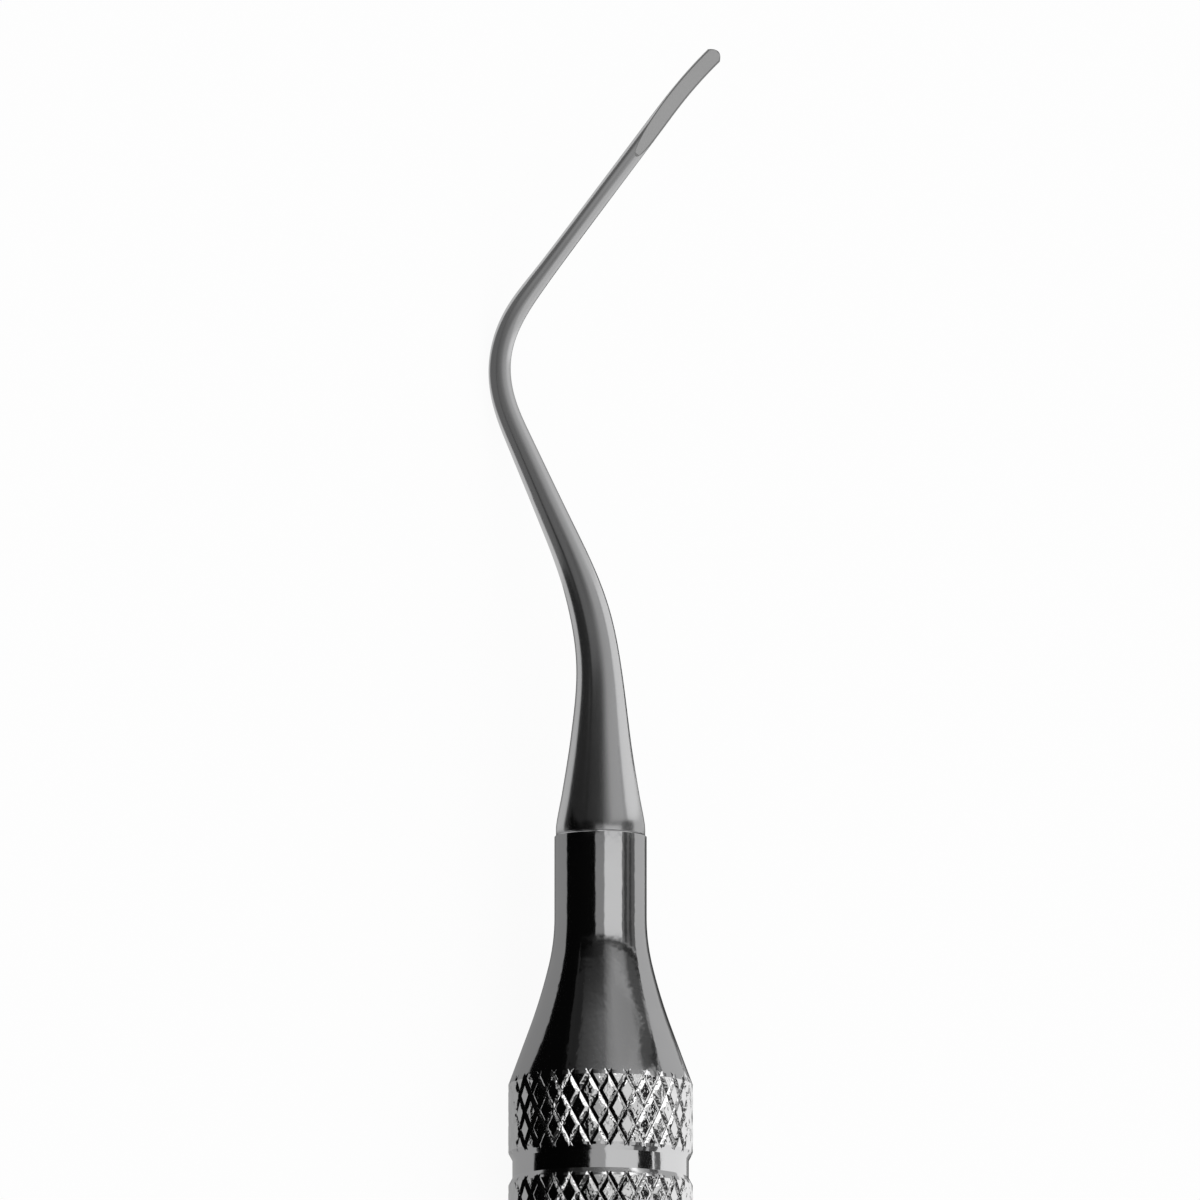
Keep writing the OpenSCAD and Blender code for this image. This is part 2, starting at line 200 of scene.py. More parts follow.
# The part is centred along its length and rolled until its elbow touches the floor
MIDDLE = (CENTRE_Y[-1] - HANDLE_L - CAP_H) / 2
TOUCHING = CENTRE_X < -CREST_R / 4
REST_ROLL = math.asin(
    min(1, float(np.min((CREST_R - stem_radius(FINE[TOUCHING])) / -CENTRE_X[TOUCHING])))
)
LAY = Matrix.Translation((0, -MIDDLE * MM, CREST_R * MM)) @ Matrix.Rotation(-REST_ROLL, 4, "Y")


# Meshes from rings of points


def piece(name, rings, materials, pick=None, along=None, smooth_under=26):
    """A closed skin over rings of points in millimetres, laid down; its end rings are points."""
    count = len(rings[0])
    points = np.concatenate(rings) * MM
    mesh = bpy.data.meshes.new(name)
    faces = []
    for j in range(len(rings) - 1):
        for i in range(count):
            a, b = j * count + i, j * count + (i + 1) % count
            faces.append((a, b, b + count, a + count))
    mesh.from_pydata([tuple(p) for p in points], [], faces)
    for material in materials:
        mesh.materials.append(material)
    if pick:
        chosen = [pick(j, i) for j in range(len(rings) - 1) for i in range(count)]
        mesh.polygons.foreach_set("material_index", chosen)
    if along is not None:
        mesh.attributes.new("along_stem", "FLOAT_VECTOR", "POINT").data.foreach_set(
            "vector", (np.concatenate(along) * MM).ravel()
        )
    obj = bpy.data.objects.new(name, mesh)
    bpy.context.collection.objects.link(obj)
    join_points(mesh)
    mesh.transform(LAY)
    mesh.polygons.foreach_set("use_smooth", [True] * len(mesh.polygons))
    mesh.set_sharp_from_angle(angle=math.radians(smooth_under))
    even = obj.modifiers.new("even_shading", "WEIGHTED_NORMAL")
    even.keep_sharp = True
    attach(obj, "root")
    return obj


def join_points(mesh):
    """Joins the points that fall together, and turns every face outwards."""
    work = bmesh.new()
    work.from_mesh(mesh)
    bmesh.ops.remove_doubles(work, verts=work.verts, dist=JOINED_WITHIN)
    thin = [f for f in work.faces if f.calc_area() < LEAST_AREA]
    bmesh.ops.delete(work, geom=thin, context="FACES_ONLY")
    bmesh.ops.recalc_face_normals(work, faces=work.faces)
    work.to_mesh(mesh)
    work.free()


def ring(radii, angles, behind):
    """Points round the handle's axis; angles turn to the right of the top line."""
    return np.stack([radii * np.sin(angles), np.full(len(angles), -behind), radii * np.cos(angles)], 1)


# The knurled handle


def knurl_ring(behind, gap, envelope):
    """One ring through the knurling: gap is the arc from a crossing line to the groove's middle."""
    reach = max(0, envelope - GROOVE_R) / GROOVE_SLOPE
    brink = min(CREST_ROUND, reach / 2)
    wide, narrow = (reach + brink) / LEAN_SHARE, (reach - brink) / LEAN_SHARE
    left = [max(0, gap - wide), max(0, gap - narrow)]
    right = [min(HALF_ARC, gap + narrow), min(HALF_ARC, gap + wide)]
    arcs = np.array([0] + left + [gap] + right + [HALF_ARC])
    half = len(arcs)
    across = np.abs(arcs - gap) * LEAN_SHARE
    rounded = GROOVE_SLOPE * np.maximum(0, reach + brink - across) ** 2 / (4 * brink + TINY)
    radii = np.where(across <= reach - brink, GROOVE_R + across * GROOVE_SLOPE, envelope - rounded)
    arcs = np.concatenate([arcs, -arcs[-2:0:-1]])
    radii = np.concatenate([radii, radii[-2:0:-1]])
    wraps = arcs + np.where(np.arange(len(arcs)) >= half, 2 * HALF_ARC, 0)
    angles = np.concatenate([k * 2 * HALF_STEP + wraps / CREST_R for k in range(KNURL_STARTS)])
    return ring(np.tile(radii, KNURL_STARTS), KNURL_TURN + angles, behind)


def half_row(at, j):
    """Rings from one row of crossings to the next."""
    width = KNURL_DEPTH / LEAN_SHARE / HALF_ARC
    brink = CREST_ROUND / LEAN_SHARE / HALF_ARC
    shares = [0, width - brink, width + brink, 1 - width - brink, 1 - width + brink, 1]
    return [
        knurl_ring(at + (j + s) * ROW_L, (1 - s if j % 2 else s) * HALF_ARC, CREST_R)
        for s in shares
    ]


def run_out(at, slope, way):
    """Rings over a bevel, from its crest edge to where the grooves end."""
    ridge_l = GROOVE_DEPTH / (math.sin(KNURL_LEAN) * GROOVE_SLOPE + slope)
    out_l = GROOVE_DEPTH / slope
    places = [0, ridge_l / 2, ridge_l] + [mix(ridge_l, out_l, i / 4) for i in range(1, 5)]
    rings = [knurl_ring(at + way * s, s * math.tan(KNURL_LEAN), CREST_R - s * slope) for s in places]
    return rings if way > 0 else rings[::-1]


def plain_ring(behind, radius, slope):
    """A ring of a turned surface, with the points that the grooves beside it end in."""
    gap = GROOVE_DEPTH / slope * math.tan(KNURL_LEAN)
    beyond = [mix(gap, HALF_ARC, 1 / 3), mix(gap, HALF_ARC, 2 / 3), HALF_ARC]
    half = np.array([0, gap / 3, gap * 2 / 3, gap] + beyond)
    arcs = np.concatenate([half, 2 * HALF_ARC - half[-2:0:-1]])
    angles = np.concatenate([k * 2 * HALF_STEP + arcs / CREST_R for k in range(KNURL_STARTS)])
    return ring(np.full(len(angles), radius), KNURL_TURN + angles, behind)


def plain_rings(places, radius, slope):
    """Rings of one radius at each of the places."""
    return [plain_ring(d, radius, slope) for d in places]


def grip(at, rows, front_slope):
    """Every ring of one grip, with the run-outs at both ends."""
    rings = run_out(at, front_slope, -1)
    for j in range(rows):
        rings += half_row(at, j)
    return rings + run_out(at + rows * ROW_L, RING_SLOPE, 1)


def socket_rings():
    """The tang's socket, from its drilled point to the nose face."""
    rings = [plain_ring(SOCKET_L + SOCKET_R * DRILL_SLOPE, 0, CONE_SLOPE)]
    rings += plain_rings(np.linspace(SOCKET_L, 0, SOCKET_RINGS), SOCKET_R, CONE_SLOPE)
    return rings + [plain_ring(0, mix(SOCKET_R, NOSE_D / 2 - EDGE_BREAK, 0.5), CONE_SLOPE)]


def nose_rings():
    """The straight nose, the hollow flare and the taper's large radius."""
    rings = [plain_ring(0, NOSE_D / 2 - EDGE_BREAK, CONE_SLOPE)]
    rings += plain_rings(np.linspace(EDGE_BREAK, NOSE_L, NOSE_RINGS), NOSE_D / 2, CONE_SLOPE)
    for a in np.linspace(0, FLARE_SLOPE, FLARE_RINGS)[1:]:
        radius = NOSE_D / 2 + FLARE_R * (1 - math.cos(a))
        rings.append(plain_ring(NOSE_L + FLARE_R * math.sin(a), radius, CONE_SLOPE))
    for a in np.linspace(FLARE_SLOPE, CONE_ANGLE, TAPER_RINGS)[1:]:
        behind = FLARE_END + TAPER_R * (math.sin(a) - math.sin(FLARE_SLOPE))
        radius = FLARE_END_R + TAPER_R * (math.cos(FLARE_SLOPE) - math.cos(a))
        rings.append(plain_ring(behind, radius, CONE_SLOPE))
    return rings


def barrel_rings():
    """The smooth barrel, with the turned rings before and behind it."""
    barrel_edge = (RING_DEPTH - BARREL_STEP) / RING_SLOPE
    start = MAIN_RING_AT + RING_L - RING_BEVEL_L
    end = REAR_GRIP_AT - RING_L + RING_BEVEL_L
    smooth = np.linspace(start + barrel_edge, end - barrel_edge, BARREL_RINGS)
    return [
        *plain_rings((MAIN_RING_AT + RING_BEVEL_L, start), RING_R, RING_SLOPE),
        *plain_rings(smooth, BARREL_R, RING_SLOPE),
        *plain_rings((end, REAR_GRIP_AT - RING_BEVEL_L), RING_R, RING_SLOPE),
    ]


def bore_rings():
    """The butt's face and the bore, up to its drilled point."""
    rings = [plain_ring(HANDLE_L, RING_R, RING_SLOPE), plain_ring(HANDLE_L, BORE_R, RING_SLOPE)]
    rings += plain_rings(np.linspace(HANDLE_L, HOLLOW_AT, BORE_RINGS)[1:], BORE_R, RING_SLOPE)
    return rings + [plain_ring(HOLLOW_AT - BORE_R * DRILL_SLOPE, 0, RING_SLOPE)]


def handle_rings():
    """Every ring of the handle, from the socket along the outside to the bore."""
    front_ring = (FRONT_RING_AT + RING_BEVEL_L, MAIN_GRIP_AT - RING_BEVEL_L)
    return [
        *socket_rings(),
        *nose_rings(),
        *grip(FRONT_GRIP_AT, FRONT_ROWS, CONE_SLOPE),
        *plain_rings(front_ring, RING_R, RING_SLOPE),
        *grip(MAIN_GRIP_AT, MAIN_ROWS, RING_SLOPE),
        *barrel_rings(),
        *grip(REAR_GRIP_AT, REAR_ROWS, RING_SLOPE),
        *bore_rings(),
    ]


# The working end

TANG_OUTLINE = [
    (TANG_L, 0),
    (TANG_L, TANG_D / 2 - LEAD),
    (TANG_L - LEAD, TANG_D / 2),
    (TANG_L / 2, TANG_D / 2),
    (0, TANG_D / 2),
]


def section(at):
    """Outline of the stem across its curve, as distances to its right and above its centre."""
    r = float(stem_radius(np.array(at))) - max(0, EDGE_BREAK - at)
    rise = max(0, HEEL_AT + HEEL_L - at)
    flat = min(r, FACE_LEFT + rise * rise / (2 * HEEL_R)) if at > HEEL_AT else r
    corner = math.acos(min(1, (flat - CORNER_R) / (r - CORNER_R)))
    side = (r - CORNER_R) * math.sin(corner)
    turns = np.linspace(0, corner, CORNER_STEPS + 1)
    right = np.stack([side + CORNER_R * np.sin(turns), flat - CORNER_R + CORNER_R * np.cos(turns)], 1)
    back = np.linspace(corner, TAU - corner, ROUND_STEPS + 1)[1:-1]
    face = np.linspace(-side, side, FLAT_STEPS + 1)[:-1]
    outline = np.concatenate(
        [
            np.stack([face, np.full(len(face), flat)], 1),
            right,
            np.stack([r * np.sin(back), r * np.cos(back)], 1),
            right[::-1] * [-1, 1],
        ]
    )[:-1]
    share = math.sqrt(min(1, max(0, (STEM_L - at) / TIP_L)))
    return [0, flat] + share * (outline - [0, flat])


def stem_ring(at):
    """The outline at one place along the stem, turned to face across its curve."""
    across = section(at)
    turn = float(heading(np.array(at)))
    right = np.array([math.cos(turn), -math.sin(turn), 0])
    face = np.array([0, 0, math.cos(FACE_ROLL)]) + math.sin(FACE_ROLL) * right
    side = math.cos(FACE_ROLL) * right - np.array([0, 0, math.sin(FACE_ROLL)])
    centre = np.array([np.interp(at, FINE, CENTRE_X), np.interp(at, FINE, CENTRE_Y), 0])
    return centre + across[:, :1] * side + across[:, 1:] * face


def working_end_places():
    """Places along the stem, closest together in the heel's scoop and at the tip."""
    places = [0, EDGE_BREAK]
    places += list(np.linspace(EDGE_BREAK, HEEL_AT, BODY_RINGS)[1:])
    places += [HEEL_AT + HEEL_L * (i / HEEL_RINGS) ** 2 for i in range(1, HEEL_RINGS + 1)]
    places += list(np.linspace(HEEL_AT + HEEL_L, STEM_L - TIP_L, FACE_RINGS)[1:])
    places += [STEM_L - TIP_L * (1 - i / TIP_RINGS) ** 2 for i in range(1, TIP_RINGS + 1)]
    return places


def straightened():
    """The stem's points as they would lie if it were straight, for lines that follow its bends."""
    rings = []
    for at in [-behind for behind, _ in TANG_OUTLINE] + working_end_places():
        across = section(max(0, at))
        rings.append(np.concatenate([across, np.full((len(across), 1), at)], 1))
    return rings


def working_end_rings():
    """Every ring of the tang, the stem and the blade."""
    rings = [stem_ring(p) for p in working_end_places()]
    circle = rings[0] * [1, 0, 1] / (SHANK_D / 2 - EDGE_BREAK)
    return [circle * radius - [0, behind, 0] for behind, radius in TANG_OUTLINE] + rings


# The end plug


def plug_rings():
    """The spigot, the cap's rim and its low dome."""
    spigot_r = BORE_R - SEAT_GAP
    dome_h = CAP_H - CAP_RIM_H
    dome_r = (RING_R**2 + dome_h**2) / (2 * dome_h)
    reach = math.asin(RING_R / dome_r)
    outline = [
        (0, HANDLE_L - SPIGOT_L),
        (spigot_r - LEAD, HANDLE_L - SPIGOT_L),
        (spigot_r, HANDLE_L - SPIGOT_L + LEAD),
        (spigot_r, HANDLE_L),
        (RING_R - EDGE_BREAK, HANDLE_L),
        (RING_R, HANDLE_L + EDGE_BREAK),
    ]
    outline += [
        (dome_r * math.sin(a), HANDLE_L + CAP_H - dome_r * (1 - math.cos(a)))
        for a in np.linspace(reach, 0, DOME_RINGS)
    ]
    angles = np.linspace(0, TAU, PLUG_STEPS + 1)[:-1]
    return [ring(np.full(PLUG_STEPS, r), angles, d) for r, d in outline]


# Materials

NOISE_LOW, NOISE_HIGH = 0.3, 0.7
CLOUD_SCALE = (160, 160, 160)
SMUDGE = 0.02
SMUDGE_SHADE = 0.95
MICROMETRE = 1e-6


class Nodes:
    """Short hand for building one material's nodes."""

    def __init__(self, name, follows=None):
        self.follows = follows
        self.material = bpy.data.materials.new(name)
        self.material.use_nodes = True
        self.tree = self.material.node_tree
        self.tree.nodes.clear()

    def add(self, kind, inputs=(), **settings):
        """A new node, with its settings and with its inputs linked or set."""
        node = self.tree.nodes.new(kind)
        for key, value in settings.items():
            setattr(node, key, value)
        for key, value in dict(inputs).items():
            if isinstance(value, bpy.types.NodeSocket):
                self.tree.links.new(value, node.inputs[key])
            else:
                node.inputs[key].default_value = value
        return node

    def stretched(self, scale):
        """The place on the piece, or along the stem, with each direction scaled."""
        if self.follows:
            where = self.add("ShaderNodeAttribute", attribute_name=self.follows).outputs["Vector"]
        else:
            where = self.add("ShaderNodeTexCoord").outputs["Object"]
        return self.add("ShaderNodeMapping", {"Vector": where, "Scale": scale}).outputs["Vector"]

    def noise(self, scale, detail, roughness=0.6):
        """Noise with so many cells to the metre each way."""
        inputs = {"Vector": self.stretched(scale), "Scale": 1, "Detail": detail, "Roughness": roughness}
        return self.add("ShaderNodeTexNoise", inputs).outputs["Fac"]

    def spread(self, value, low, high):
        """Spreads the middle of a noise's values over a range."""
        node = self.add(
            "ShaderNodeMapRange",
            {"Value": value, "From Min": NOISE_LOW, "From Max": NOISE_HIGH, "To Min": low, "To Max": high},
        )
        return node.outputs["Result"]


def steel(name, tint, rough, grain_scale, bump, wave=0.0, wave_scale=(1500, 250, 1500), follows=None):
    """Steel with a grain stretched along its finishing direction, faint smudges and fine wear.

    The bump strengths are in micrometres; the waves are what hand polishing leaves."""
    n = Nodes(name, follows)
    grain = n.noise(grain_scale, detail=6, roughness=0.7)
    cloud = n.noise(CLOUD_SCALE, detail=3)
    rough_mix = n.add(
        "ShaderNodeMath",
        {0: n.spread(grain, rough[0], rough[1]), 1: n.spread(cloud, 0, SMUDGE)},
        operation="ADD",
    ).outputs[0]
    ramp = n.add("ShaderNodeValToRGB", {"Fac": n.spread(cloud, 0, 1)})
    ramp.color_ramp.elements[0].color = (*(SMUDGE_SHADE * c for c in tint), 1)
    ramp.color_ramp.elements[1].color = (*tint, 1)
    waved = n.add(
        "ShaderNodeBump",
        {"Height": n.noise(wave_scale, detail=1), "Distance": wave * MICROMETRE},
    )
    bumped = n.add(
        "ShaderNodeBump",
        {"Height": grain, "Distance": bump * MICROMETRE, "Normal": waved.outputs["Normal"]},
    )
    shader = n.add(
        "ShaderNodeBsdfPrincipled",
        {
            "Base Color": ramp.outputs["Color"],
            "Roughness": rough_mix,
            "Normal": bumped.outputs["Normal"],
            "Metallic": 1.0,
        },
    )
    n.add("ShaderNodeOutputMaterial", {"Surface": shader.outputs["BSDF"]})
    return n.material


polished = steel(
    "polished_stem_steel",
    tint=(0.75, 0.75, 0.755),
    rough=(0.16, 0.23),
    grain_scale=(12000, 12000, 300),
    bump=0.25,
    wave=1.2,
    wave_scale=(3500, 3500, 120),
    follows="along_stem",
)
ground = steel(
    "ground_face_steel",
    tint=(0.72, 0.72, 0.72),
    rough=(0.36, 0.42),
    grain_scale=(3000, 12000, 3000),
    bump=0.03,
)
# The rim of the blade's flat is the same ground steel with a much darker tint: a painted shade that stands
# for the dark line along the flat's edges.
painted_shade_rim_steel = steel(
    "ground_rim_painted_shade_steel",
    tint=(0.42, 0.42, 0.42),
    rough=(0.3, 0.36),
    grain_scale=(3000, 12000, 3000),
    bump=0.03,
)
turned = steel(
    "turned_handle_steel",
    tint=(0.72, 0.72, 0.725),
    rough=(0.07, 0.1),
    grain_scale=(500, 14000, 500),
    bump=0.05,
    wave=5,
    wave_scale=(3000, 2000, 3000),
)
# The knurls get a brighter tint than the turned steel of the same tube: a painted highlight that makes
# their glints brighter.
knurled = steel(
    "knurled_handle_steel",
    tint=(0.84, 0.84, 0.84),
    rough=(0.07, 0.12),
    grain_scale=(9000, 9000, 9000),
    bump=0.6,
    wave=36,
    wave_scale=(4200, 4200, 4200),
)
plug_steel = steel(
    "turned_plug_steel",
    tint=(0.72, 0.72, 0.725),
    rough=(0.1, 0.14),
    grain_scale=(3000, 3000, 3000),
    bump=0.1,
)

POLISHED, GROUND, PAINTED_SHADE_RIM = range(3)
HEEL_RIM_RINGS, TIP_RIM_RINGS = 8, 10
GRIP_MARGIN = 0.02


def on_flat():
    """Picks the ground steel for the flat between the heel and the tip, and the darker steel of its rim,
    which is a painted shade along the flat's edges.
    """
    places = working_end_places()
    first = len(TANG_OUTLINE) + sum(1 for p in places if p <= HEEL_AT)
    last = len(TANG_OUTLINE) + len(places) - TIP_RIM_RINGS
    left_corner = FLAT_STEPS + CORNER_STEPS + ROUND_STEPS
    corners = {*range(FLAT_STEPS - 1, FLAT_STEPS + CORNER_STEPS)}
    corners |= {*range(left_corner, left_corner + CORNER_STEPS)}

    def pick(j, i):
        if j < first:
            return POLISHED
        if i in corners:
            return PAINTED_SHADE_RIM
        if i >= FLAT_STEPS:
            return POLISHED
        return GROUND if first + HEEL_RIM_RINGS <= j < last else PAINTED_SHADE_RIM

    return pick


def on_knurls(rings):
    """Picks the knurled steel between the crest edges of the grips."""
    grips = [
        (FRONT_GRIP_AT, FRONT_RING_AT),
        (MAIN_GRIP_AT, MAIN_RING_AT),
        (REAR_GRIP_AT, REAR_GRIP_AT + REAR_ROWS * ROW_L),
    ]
    behind = [-r[0][1] for r in rings]
    outer = [np.hypot(r[0][0], r[0][2]) > BORE_R + WALL / 4 for r in rings]

    def in_a_grip(j):
        low, high = sorted(behind[j : j + 2])
        return outer[j] and any(a - GRIP_MARGIN < low and high < b + GRIP_MARGIN for a, b in grips)

    held = [int(in_a_grip(j)) for j in range(len(rings) - 1)]
    return lambda j, i: held[j]


stem_rings, tube_rings = working_end_rings(), handle_rings()
working_end = piece(
    "working_end_steel",
    stem_rings,
    [polished, ground, painted_shade_rim_steel],
    on_flat(),
    straightened(),
)
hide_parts("working_end")
handle = piece(
    "handle_steel_tube",
    tube_rings,
    [turned, knurled],
    on_knurls(tube_rings),
    smooth_under=19,
)
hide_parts("handle")
end_plug = piece("end_plug_cap", plug_rings(), [plug_steel])
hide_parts("end_plug")


# Floor, light and camera

WHITE_SHARE = 0.93
FLOOR_SIZE = 30
TENT_R, STROKE_R, DOME_R = 25, 12, 500
CARD_STEP = 3
BAND_EDGE = 0.2
AXIS = Vector((0, 0, CREST_R * MM))
SEAM_Y = -MIDDLE * MM


def seen_white(n, surface, share):
    """Mixes white in for camera, glossy and transmission rays, so that metal sees it too."""
    path = n.add("ShaderNodeLightPath")
    seen = n.add(
        "ShaderNodeMath",
        {0: path.outputs["Is Camera Ray"], 1: path.outputs["Is Glossy Ray"]},
        operation="MAXIMUM",
    )
    seen = n.add(
        "ShaderNodeMath",
        {0: seen.outputs[0], 1: path.outputs["Is Transmission Ray"]},
        operation="MAXIMUM",
    )
    part = n.add("ShaderNodeMath", {0: seen.outputs[0], 1: share}, operation="MULTIPLY")
    white = n.add("ShaderNodeEmission", {"Color": (1, 1, 1, 1), "Strength": 1.0})
    return n.add(
        "ShaderNodeMixShader", {0: part.outputs[0], 1: surface, 2: white.outputs[0]}
    ).outputs[0]


def floor():
    """The pale floor, which keeps the soft shadow under the part."""
    n = Nodes("pale_floor")
    cloud = n.noise((30, 30, 30), detail=2)
    pale = n.add(
        "ShaderNodeBsdfDiffuse", {"Color": (0.82, 0.82, 0.82, 1), "Roughness": n.spread(cloud, 0.2, 0.5)}
    )
    n.add("ShaderNodeOutputMaterial", {"Surface": seen_white(n, pale.outputs[0], WHITE_SHARE)})
    bpy.ops.mesh.primitive_plane_add(size=FLOOR_SIZE, location=(0, 0, 0))
    plane = bpy.context.object
    plane.name = "studio_floor"
    plane.data.materials.append(n.material)


def card(name, corners, tones):
    """A flat or bent card that glows with its tones and only shows in reflections, so that it is a painted
    reflection on the metal; corners and tones are rows.
    """
    n = Nodes(name + "_tone")
    tone = n.add("ShaderNodeAttribute", attribute_name="tone").outputs["Fac"]
    glow = n.add("ShaderNodeEmission", {"Color": (1, 1, 1, 1), "Strength": tone})
    n.add("ShaderNodeOutputMaterial", {"Surface": glow.outputs[0]})
    rows, columns = len(corners), len(corners[0])
    mesh = bpy.data.meshes.new(name)
    faces = [
        (r * columns + c, r * columns + c + 1, (r + 1) * columns + c + 1, (r + 1) * columns + c)
        for r in range(rows - 1)
        for c in range(columns - 1)
    ]
    mesh.from_pydata([p for row in corners for p in row], [], faces)
    mesh.attributes.new("tone", "FLOAT", "POINT").data.foreach_set("value", np.concatenate(tones))
    mesh.materials.append(n.material)
    obj = bpy.data.objects.new(name, mesh)
    bpy.context.collection.objects.link(obj)
    obj.visible_camera = obj.visible_diffuse = obj.visible_shadow = False
    obj.visible_transmission = False


def bent_card(name, radius, ends, stops, end_stops=None):
    """A bent card round the handle's axis. The ends are distances along it from the seam, towards
    the tip, and the stops are angles from the camera's side to the right, each with its tone; the
    tones pass into those of end_stops at the second end."""
    angles = []
    for (a, _), (b, _) in zip(stops, stops[1:]):
        angles += list(np.linspace(a, b, max(2, int(abs(b - a) / CARD_STEP) + 1)))[:-1]
    angles.append(stops[-1][0])
    held = (stops, end_stops or stops)
    tones = [np.interp(angles, [a for a, _ in pairs], [t for _, t in pairs]) for pairs in held]
    rows = []
    for end in ends:
        row = []
        for a in angles:
            turn = math.radians(a)
            local = Vector((math.sin(turn) * radius, SEAM_Y / MM + end, math.cos(turn) * radius)) * MM
            row.append(tuple(Matrix.Rotation(-REST_ROLL, 3, "Y") @ local + AXIS))
        rows.append(row)
    card(name, rows, tones)


def tent(name, ends, stops, end_stops=None):
    """A near card, between two distances from the seam."""
    bent_card(name, TENT_R, ends, stops, end_stops)


def dome(name, lifts, stops, end_stops=None):
    """A far card, between two angles of lift from the camera's side towards the tip."""
    ends = [DOME_R * math.tan(math.radians(lift)) for lift in lifts]
    bent_card(name, DOME_R, ends, stops, end_stops)


def floor_card(name, y0, y1, stops, lift=0.03):
    """A card that lies on the floor, from one distance past the seam to another. The stops are
    distances to the right of the handle's axis, each with its tone."""
    rows = [[(x * MM, SEAM_Y + y * MM, lift * MM) for x, _ in stops] for y in (y0, y1)]
    card(name, rows, [[tone for _, tone in stops]] * 2)


def steps(*bands):
    """Stops for bands of even tone, each given as its start, its end and its tone."""
    edges = [(start + BAND_EDGE, end - BAND_EDGE, tone) for start, end, tone in bands]
    return [stop for start, end, tone in edges for stop in ((start, tone), (end, tone))]


# Tones of the cards, which are painted reflections: the bright bands paint highlights and the dark bands
# paint dark reflections; a card passes from one list into another where two forms meet

NOSE_BANDS = steps(
    (-49, -12, 0.002), (-12, 9, 0.26), (9, 53, 0.72), (53, 59, 0.16), (59, 66, 0.05), (66, 73, 0.12),
    (73, 80, 0.05), (80, 91, 0.11), (91, 140, 0.48), (140, 147, 0.2), (147, 156, 0.04)
)
NOSE_END_STOPS = [
    (-49, 0.002), (-20, 0.02), (4, 0.03), (10, 0.06), (20, 0.14), (34, 0.18), (64, 0.25), (80, 0.3),
    (92, 0.48), (156, 0.48)
]
FLARE_BANDS = steps(
    (-49, -20, 0.002), (-20, 9, 0.02), (9, 54, 0.05), (54, 92, 0.02), (92, 156, 0.48)
)
SHOULDER_STOPS = [
    (-49, 0.002), (-25, 0.01), (4, 0.03), (14, 0.16), (28, 0.28), (52, 0.26), (64, 0.08), (86, 0.08),
    (94, 0.46), (156, 0.48)
]
SHANK_STOPS = [
    (-37.3, 0.03), (-4, 0.035), (8, 0.075), (20, 0.2), (34, 0.37), (68, 0.4), (72, 0.28), (76, 0.28),
    (80, 0.75), (143, 0.75)
]
GRIP_BANDS = steps(
    (-49, -13, 0.001), (-13, 6, 0.38), (6, 46.5, 0.72), (46.5, 65.5, 0.01), (65.5, 68.7, 0.95),
    (68.7, 79, 0.12), (79, 143, 0.92), (143, 156, 0.3)
)
SLANT_BANDS = steps(
    (-49, -13, 0.001), (-13, 2, 0.02), (2, 12, 1.1), (12, 46, 0.04), (46, 60, 0.5), (60, 79, 0.04),
    (79, 143, 0.92), (143, 156, 0.3)
)
STROKE_STOPS = [(-3, 0.3), (0, 1.5), (50, 1.5), (56, 0.6), (70, 0.3)]
SHAFT_STOPS = [
    (-49, 0.1), (-36, 0.11), (-20, 0.14), (-8, 0.16), (8, 0.2), (22, 0.31), (60, 0.42), (90, 0.6),
    (140, 0.55), (156, 0.2)
]
BLADE_STOPS = [
    (-49, 0.14), (-41, 0.17), (-34, 0.21), (-26, 0.26), (-17, 0.31), (8, 0.35), (22, 0.38), (60, 0.45),
    (90, 0.6), (140, 0.55), (156, 0.2)
]
STEM_STOPS = [(-37.3, 0.13), (0, 0.15), (25, 0.3), (60, 0.36), (70, 0.5), (90, 0.75), (143, 0.75)]
CONE_STOPS = [
    (-37.3, 0.035), (-10, 0.045), (5, 0.06), (14, 0.2), (26, 0.31), (62, 0.28), (76, 0.15), (86, 0.15),
    (96, 0.34), (143, 0.5)
]
FOOT_STOPS = [
    (-37.3, 0.07), (-10, 0.12), (5, 0.19), (14, 0.26), (26, 0.31), (62, 0.28), (76, 0.15), (86, 0.15),
    (96, 0.34), (143, 0.5)
]
BUTT_STOPS = [(-37.3, 0.05), (0, 0.2), (25, 0.54), (80, 0.54), (100, 0.6), (143, 0.6)]
FAR_FLOOR = [(8, 0.3), (14, 0.12), (24, 0.04), (600, 0.04)]


def handle_cards():
    """The near cards that paint the reflections the nose, the flare, the grips and the barrel show; the
    stroke card glows brighter than white and paints the glints on the knurls.
    """
    tent("nose_tent", (-4.6, 3.27), NOSE_BANDS)
    tent("base_tent", (3.27, 3.8), NOSE_END_STOPS)
    tent("flare_tent", (3.8, 5.2), FLARE_BANDS)
    tent("shoulder_tent", (5.2, 7.6), SHOULDER_STOPS)
    tent("shoulder_end", (7.6, 8.6), SHOULDER_STOPS, SHANK_STOPS)
    tent("grip_tent", (-18, -4.6), GRIP_BANDS)
    tent("slant_front", (-21, -18), SLANT_BANDS, GRIP_BANDS)
    tent("slant_tent", (-27, -21), SLANT_BANDS)
    tent("slant_back", (-38, -27), GRIP_BANDS, SLANT_BANDS)
    tent("barrel_tent", (-170, -38), GRIP_BANDS)
    bent_card("stroke_tent", STROKE_R, (-11, -5.8), STROKE_STOPS)


def stem_cards():
    """The near cards that paint the reflections the thin shaft and the blade show."""
    tent("shaft_tent", (27, 30), SHAFT_STOPS)
    tent("heel_tent", (30, 42), SHAFT_STOPS, BLADE_STOPS)
    tent("blade_tent", (42, 130), BLADE_STOPS)


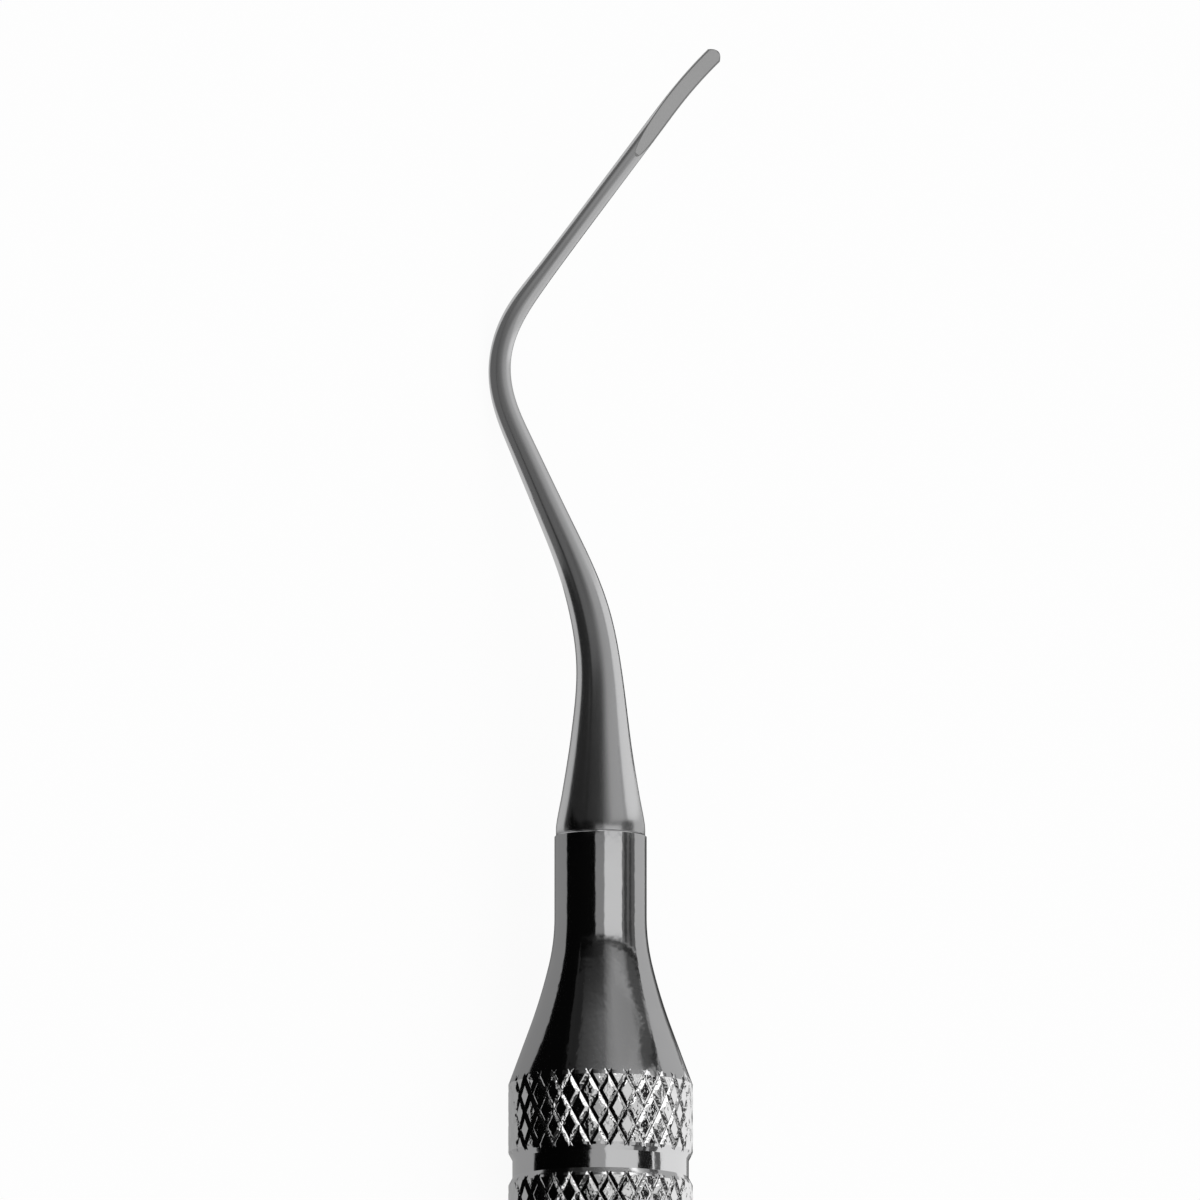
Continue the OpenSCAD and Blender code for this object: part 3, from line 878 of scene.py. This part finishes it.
def far_cards():
    """The far cards that paint reflections, from the straight stem's lift to the cone's, and the one
    behind the butt.
    """
    dome("stem_band", (-10, 13), STEM_STOPS)
    dome("shank_edge", (13, 20), STEM_STOPS, SHANK_STOPS)
    dome("shank_dome", (20, 34), SHANK_STOPS)
    dome("cone_edge", (34, 39), SHANK_STOPS, CONE_STOPS)
    dome("foot_dome", (39, 50), CONE_STOPS, FOOT_STOPS)
    dome("crown_dome", (50, 72), FOOT_STOPS)
    dome("butt_dome", (-75, -10), BUTT_STOPS)


def floor_cards():
    """The cards on the floor, which paint the reflections the part's lower left side shows: dark
    stretches, and grey strips under the part that stand for the floor's shade there.
    """
    floor_card("grip_floor", -600, -12.4, [
        (-600, 0.001), (-6.7, 0.001), (-6.4, 0.37), (-1.5, 0.37), (2, 0.06), (4, 0.2), *FAR_FLOOR])
    floor_card("nose_floor", -12.4, 0.6, [
        (-600, 0.002), (-5.2, 0.002), (-5, 0.27), (-0.8, 0.27), (2.4, 0.04), (4, 0.2), *FAR_FLOOR])
    floor_card("nose_shade", 0.6, 3.6, [(-600, 0.002), (-5.2, 0.002)], lift=0.05)
    floor_card("shank_floor", 0.6, 13, [
        (-600, 0.022), (-3.5, 0.022), (-3.2, 0.52), (-0.5, 0.52), (1.5, 0.06), *FAR_FLOOR])
    floor_card("stem_floor", 13, 1400, [
        (-600, 0.02), (-26, 0.02), (-18, 0.1), (-11, 0.14), (-3.5, 0.14), (-3.2, 0.62), (2, 0.62),
        *FAR_FLOOR])
    floor_card("elbow_floor", 17, 31, [(-11, 0.14), (-3.75, 0.14), (-3.55, 0.6), (2, 0.62)], lift=0.05)


def white_world():
    """An even white light from all sides."""
    world = bpy.data.worlds.new("studio")
    bpy.context.scene.world = world
    world.use_nodes = True
    background = world.node_tree.nodes["Background"]
    background.inputs["Color"].default_value = (1, 1, 1, 1)
    background.inputs["Strength"].default_value = 1.0


CAMERA_TILT = math.radians(8)
CAMERA_FAR = 2.9
CAMERA_CLIP = (0.05, 50)
SENSOR_MM = 36
PHOTO_MM = 61.8435
MIDDLE_AHEAD_MM = 12.278
MIDDLE_ASIDE_MM = -0.03


def photo_camera():
    """The camera, far off and square to the plane of the bends, tilted towards the handle's end."""
    camera_data = bpy.data.cameras.new("camera")
    camera_data.sensor_width = SENSOR_MM
    camera_data.lens = SENSOR_MM * CAMERA_FAR / (PHOTO_MM * MM)
    camera_data.clip_start, camera_data.clip_end = CAMERA_CLIP
    camera = bpy.data.objects.new("camera", camera_data)
    bpy.context.collection.objects.link(camera)
    aim = Vector((MIDDLE_ASIDE_MM * MM, SEAM_Y + MIDDLE_AHEAD_MM * MM, 0))
    back = Vector((0, -math.sin(CAMERA_TILT), math.cos(CAMERA_TILT)))
    camera.matrix_world = (
        Matrix.Translation(AXIS)
        @ Matrix.Rotation(-REST_ROLL, 4, "Y")
        @ Matrix.Translation(aim + back * CAMERA_FAR)
        @ Matrix.Rotation(CAMERA_TILT, 4, "X")
    )
    bpy.context.scene.camera = camera


floor()
white_world()
handle_cards()
stem_cards()
far_cards()
floor_cards()
photo_camera()
bpy.context.scene.view_settings.view_transform = "Standard"
